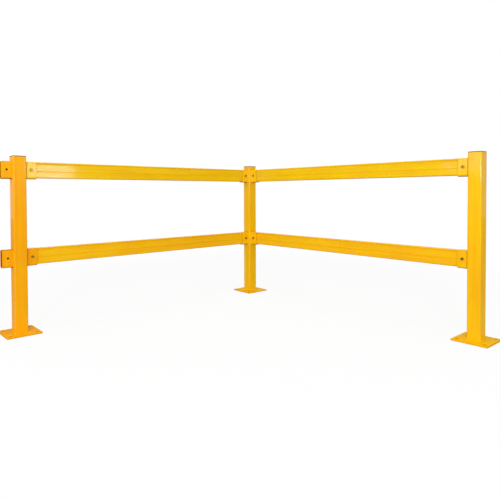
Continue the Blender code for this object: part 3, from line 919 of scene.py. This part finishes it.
def set_out(tree, size, shape):
    """Puts one shape on every point, its axis along the point's facing."""
    facing = add_node(tree, "GeometryNodeInputNamedAttribute",
                      {"Name": "facing"}, data_type="FLOAT_VECTOR")
    turn = add_node(tree, "FunctionNodeAlignRotationToVector",
                    {"Vector": facing.outputs["Attribute"]}, axis="Z")
    placed = add_node(tree, "GeometryNodeInstanceOnPoints", {
        "Points": size["Geometry"], "Instance": shape,
        "Rotation": turn.outputs[0]})
    end_tree(tree, size, placed.outputs[0])


def washer_tree():
    """Flat washer, blanked from sheet: a rounded strip swept round its bore."""
    tree, size = size_tree("flat_washer", ("Middle Radius", "Width", "Thickness", "Edge"))
    ring = add_node(tree, "GeometryNodeCurvePrimitiveCircle", {
        "Resolution": 40, "Radius": size["Middle Radius"]})
    strip = add_node(tree, "GeometryNodeCurvePrimitiveQuadrilateral", {
        "Width": size["Width"], "Height": size["Thickness"]})
    soft = add_node(tree, "GeometryNodeFilletCurve", {
        "Curve": strip.outputs[0], "Radius": size["Edge"], "Count": 3}, mode="POLY")
    swept = add_node(tree, "GeometryNodeCurveToMesh", {
        "Curve": ring.outputs[0], "Profile Curve": soft.outputs[0]})
    set_out(tree, size, swept.outputs[0])
    return tree


def hexagon_sizes(across, height):
    """Sizes of a hexagonal blank and of the 30 degree cone that turns its corners. The
    cone is a trace taller, so that no face of the two lies in the same plane."""
    top = CROWN_SHARE * across
    return {"Corner Radius": across / math.sqrt(3), "Height": height,
            "Half Height": height / 2, "Cone Top": top,
            "Cone Bottom": top + height / math.tan(math.radians(30)),
            "Cone Height": 1.0002 * height, "Cone Level": -0.5001 * height}


def hexagon(tree, size, both_ends):
    """Hexagonal blank on Z = 0 with its corners turned off at the top or both ends."""
    prism = add_node(tree, "GeometryNodeMeshCylinder", {
        "Vertices": 6, "Radius": size["Corner Radius"], "Depth": size["Height"]})
    cone = add_node(tree, "GeometryNodeMeshCone", {
        "Vertices": 48, "Radius Top": size["Cone Top"],
        "Radius Bottom": size["Cone Bottom"], "Depth": size["Cone Height"]})
    level = add_node(tree, "ShaderNodeCombineXYZ", {"Z": size["Cone Level"]})
    upright = add_node(tree, "GeometryNodeTransform", {
        "Geometry": cone.outputs["Mesh"], "Translation": level.outputs[0]})
    cutters = [upright]
    if both_ends:
        cutters.append(add_node(tree, "GeometryNodeTransform", {
            "Geometry": upright.outputs[0], "Rotation": (math.pi, 0.0, 0.0)}))
    shape = prism.outputs["Mesh"]
    for cutter in cutters:
        turned = add_node(tree, "GeometryNodeMeshBoolean", operation="INTERSECT",
                          solver="EXACT")
        tree.links.new(shape, turned.inputs["Mesh 2"])
        tree.links.new(cutter.outputs[0], turned.inputs["Mesh 2"])
        shape = turned.outputs["Mesh"]
    rise = add_node(tree, "ShaderNodeCombineXYZ", {"Z": size["Half Height"]})
    seated = add_node(tree, "GeometryNodeTransform", {
        "Geometry": shape, "Translation": rise.outputs[0]})
    return seated.outputs[0]


def bolt_tree(sizes):
    """Hex bolt: the forged head on Z = 0, the shank below and a rolled thread."""
    tree, size = size_tree("hex_bolt", sizes)
    core = add_node(tree, "GeometryNodeMeshCylinder", {
        "Vertices": 32, "Radius": size["Core Radius"], "Depth": size["Length"]})
    shank = add_node(tree, "GeometryNodeMeshCylinder", {
        "Vertices": 32, "Radius": size["Shank Radius"], "Depth": size["Shank Length"]})
    spiral = add_node(tree, "GeometryNodeCurveSpiral", {
        "Resolution": 24, "Rotations": size["Thread Turns"],
        "Start Radius": size["Core Radius"], "End Radius": size["Core Radius"],
        "Height": size["Thread Height"]})
    ridge = add_node(tree, "GeometryNodeCurvePrimitiveCircle", {
        "Resolution": 3, "Radius": size["Thread Depth"]})
    thread = add_node(tree, "GeometryNodeCurveToMesh", {
        "Curve": spiral.outputs[0], "Profile Curve": ridge.outputs[0],
        "Fill Caps": True})
    parts = add_node(tree, "GeometryNodeJoinGeometry")
    tree.links.new(hexagon(tree, size, False), parts.inputs[0])
    for shape, level in ((core, "Core Level"), (shank, "Shank Level"),
                         (thread, "Thread Level")):
        drop = add_node(tree, "ShaderNodeCombineXYZ", {"Z": size[level]})
        hung = add_node(tree, "GeometryNodeTransform", {
            "Geometry": shape.outputs[0], "Translation": drop.outputs[0]})
        tree.links.new(hung.outputs[0], parts.inputs[0])
    set_out(tree, size, parts.outputs[0])
    return tree


def nut_tree(sizes):
    """All-metal lock nut: chamfered on both faces, tapped through."""
    tree, size = size_tree("lock_nut", sizes)
    tap = add_node(tree, "GeometryNodeMeshCylinder", {
        "Vertices": 32, "Radius": size["Tap Radius"], "Depth": size["Tap Length"]})
    bored = add_node(tree, "GeometryNodeMeshBoolean", {
        "Mesh 1": hexagon(tree, size, True)}, operation="DIFFERENCE", solver="EXACT")
    tree.links.new(tap.outputs["Mesh"], bored.inputs["Mesh 2"])
    set_out(tree, size, bored.outputs["Mesh"])
    return tree


def stations(kind, nodes, seat):
    """Points for a kind of fastening, each with the way that it faces. The place
    comes from the node's box, at the face given: -1 inner, 0 middle, 1 outer."""
    points, ways = [], []
    for node in nodes:
        low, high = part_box(node)
        centre = (low + high) / 2
        leg_x = "right" not in node
        # Heads are on the inner side of the corner, nuts on the outer side.
        inward = Vector((1, 0, 0)) if leg_x else Vector((0, -1, 0))
        facing = inward if kind == "head" else -inward
        half = abs((high - low).dot(inward)) / 2
        points.append(centre + facing * half * seat)
        ways.append(facing)
    mesh = bpy.data.meshes.new(kind)
    mesh.from_pydata([tuple(point) for point in points], [], [])
    facing = mesh.attributes.new("facing", "FLOAT_VECTOR", "POINT")
    for index, way in enumerate(ways):
        facing.data[index].vector = way
    return mesh


zinc = zinc_plate()
labels = [end + "_" + height for end in ENDS for height in ("upper", "lower")]
flat_washer = washer_tree()
for kind, look, slot in (("head", yellow, "powder_coat"), ("nut", zinc, "zinc_plate")):
    nodes = [kind + "_washer_" + label for label in labels]
    rings = grow(kind, stations(kind, nodes, 0.0), flat_washer, {
        "Middle Radius": (WASHER_OUTER + WASHER_BORE) / 4,
        "Width": (WASHER_OUTER - WASHER_BORE) / 2,
        "Thickness": WASHER_THICKNESS, "Edge": WASHER_EDGE, "Material": look})
    add_piece(kind + "_side_washers", rings, look, nodes)

nodes = ["bolt_" + label for label in labels]
low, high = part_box(nodes[0])
bolt_length = high.x - low.x - HEAD_HEIGHT
points = stations("head", nodes, 1.0)
ways = [item.vector.copy() for item in points.attributes["facing"].data]
for vertex, way in zip(points.vertices, ways):
    vertex.co -= way * HEAD_HEIGHT
depth = THREAD_DEPTH_SHARE * THREAD_PITCH
plain = bolt_length - THREAD_LENGTH
wound = THREAD_LENGTH - THREAD_PITCH
sizes = hexagon_sizes(ACROSS_FLATS, HEAD_HEIGHT)
sizes |= {"Length": bolt_length, "Core Radius": BOLT_DIAMETER / 2 - depth,
          "Core Level": -bolt_length / 2, "Shank Radius": BOLT_DIAMETER / 2,
          "Shank Length": plain, "Shank Level": -plain / 2, "Thread Depth": depth,
          "Thread Height": wound, "Thread Turns": wound / THREAD_PITCH,
          "Thread Level": THREAD_END_SHARE * THREAD_PITCH - bolt_length}
bolts = grow("bolts", points, bolt_tree(sizes), sizes | {"Material": zinc})
add_piece("rail_bolts", bolts, zinc, nodes)

nodes = ["nut_" + label for label in labels]
sizes = hexagon_sizes(ACROSS_FLATS, NUT_HEIGHT)
sizes |= {"Tap Radius": TAP_SHARE * BOLT_DIAMETER, "Tap Length": 4 * NUT_HEIGHT}
nuts = grow("nuts", stations("nut", nodes, -1.0), nut_tree(sizes),
            sizes | {"Material": zinc})
add_piece("lock_nuts", nuts, zinc, nodes)


# Studio
# A plain white floor and surround. Three small softboxes show only in the gloss: on the
# upper left rail, the post tops and the corner post's edge. The rest light it evenly.
def studio_floor():
    """Matt white floor that keeps the object's shadow and fades to white."""
    material, tree = new_material("matt white floor")
    place = add_node(tree, "ShaderNodeTexCoord").outputs["Object"]
    away = add_node(tree, "ShaderNodeVectorMath", {0: place}, operation="LENGTH")
    fade = add_node(tree, "ShaderNodeMapRange", {
        "Value": away.outputs["Value"], "From Min": 1.6, "From Max": 3.2,
        "To Min": 0.88, "To Max": 1.0})
    seen = add_node(tree, "ShaderNodeLightPath")
    # The floor is greyer to the object than to the camera, so it throws less light up.
    paint_tone = add_node(tree, "ShaderNodeMix", {
        "Factor": seen.outputs["Is Camera Ray"], "A": linear("#C4C4C4"),
        "B": linear("#FCFCFC")}, data_type="RGBA")
    paint = add_node(tree, "ShaderNodeBsdfDiffuse",
                     {"Color": paint_tone.outputs["Result"]})
    glow = add_node(tree, "ShaderNodeEmission", {
        "Color": (1.0, 1.0, 1.0, 1.0), "Strength": 1.0})
    direct = add_node(tree, "ShaderNodeMath", {
        0: seen.outputs["Is Camera Ray"], 1: fade.outputs["Result"]},
        operation="MULTIPLY")
    mixed = add_node(tree, "ShaderNodeMixShader", {
        0: direct.outputs[0], 1: paint.outputs[0], 2: glow.outputs[0]})
    add_node(tree, "ShaderNodeOutputMaterial", {"Surface": mixed.outputs[0]})
    return material


def softbox(name, place, target, width, height, power, job):
    """A rectangular lamp aimed at a point. It gives light alone or gloss alone,
    as a flagged lamp or a reflector card does in a studio."""
    lamp = bpy.data.lights.new(name, "AREA")
    lamp.shape = "RECTANGLE"
    lamp.size = width
    lamp.size_y = height
    lamp.energy = power
    obj = bpy.data.objects.new(name, lamp)
    aim = (Vector(target) - Vector(place)).to_track_quat("-Z", "Y")
    obj.matrix_world = Matrix.Translation(place) @ aim.to_matrix().to_4x4()
    obj.visible_diffuse = job == "light"
    obj.visible_glossy = job == "gloss"
    bpy.context.scene.collection.objects.link(obj)


floor_mesh = bpy.data.meshes.new("floor")
floor_mesh.from_pydata([(-14, -14, 0), (14, -14, 0), (14, 14, 0), (-14, 14, 0)], [],
                       [(0, 1, 2, 3)])
floor_mesh.materials.append(studio_floor())
floor = bpy.data.objects.new("floor", floor_mesh)
# Half a millimetre low, clear of the undersides of the plates.
floor.location = (0.0, 0.0, -0.0005)
bpy.context.scene.collection.objects.link(floor)

world = bpy.data.worlds.new("surround")
world.use_nodes = True
tree = world.node_tree
tree.nodes.clear()
rays = add_node(tree, "ShaderNodeLightPath")
mirror = add_node(tree, "ShaderNodeMath", {
    0: rays.outputs["Is Glossy Ray"], 1: rays.outputs["Is Transmission Ray"]},
    operation="MAXIMUM")
shown = add_node(tree, "ShaderNodeMath", {
    0: rays.outputs["Is Camera Ray"], 1: mirror.outputs[0]}, operation="MAXIMUM")
# The surround looks white, straight and mirrored, but lights at under half of that.
strength = add_node(tree, "ShaderNodeMapRange", {
    "Value": shown.outputs[0], "To Min": 0.46, "To Max": 1.0})
surround = add_node(tree, "ShaderNodeBackground", {
    "Color": (1.0, 1.0, 1.0, 1.0), "Strength": strength.outputs["Result"]})
add_node(tree, "ShaderNodeOutputWorld", {"Surface": surround.outputs[0]})
bpy.context.scene.world = world

softbox("left_front_softbox", (0.45, -3.4, 1.45), (0.45, 0.0, 1.45), 0.7, 0.7, 14.0, "gloss")
softbox("right_front_softbox", (4.3, -0.155, 1.28), (0.0, -0.155, 1.28), 0.66, 0.6, 38.0, "gloss")
softbox("camera_softbox", (3.8, -3.6, 1.16), (0.0, 0.0, 1.0), 0.8, 0.2, 220.0, "gloss")
softbox("front_softbox", (6.6, -6.6, 2.4), (0.6, -0.6, 0.5), 2.6, 3.6, 350.0, "light")
softbox("left_softbox", (1.2, -7.5, 2.0), (0.9, 0.0, 0.6), 2.5, 2.5, 76.0, "light")
softbox("side_softbox", (4.6, -0.7, 1.5), (1.9, 0.0, 0.6), 1.2, 2.0, 6.0, "light")
softbox("overhead_softbox", (0.8, -0.8, 4.2), (0.8, -0.8, 0.0), 3.0, 3.0, 60.0, "light")

bpy.context.scene.view_settings.view_transform = "Standard"
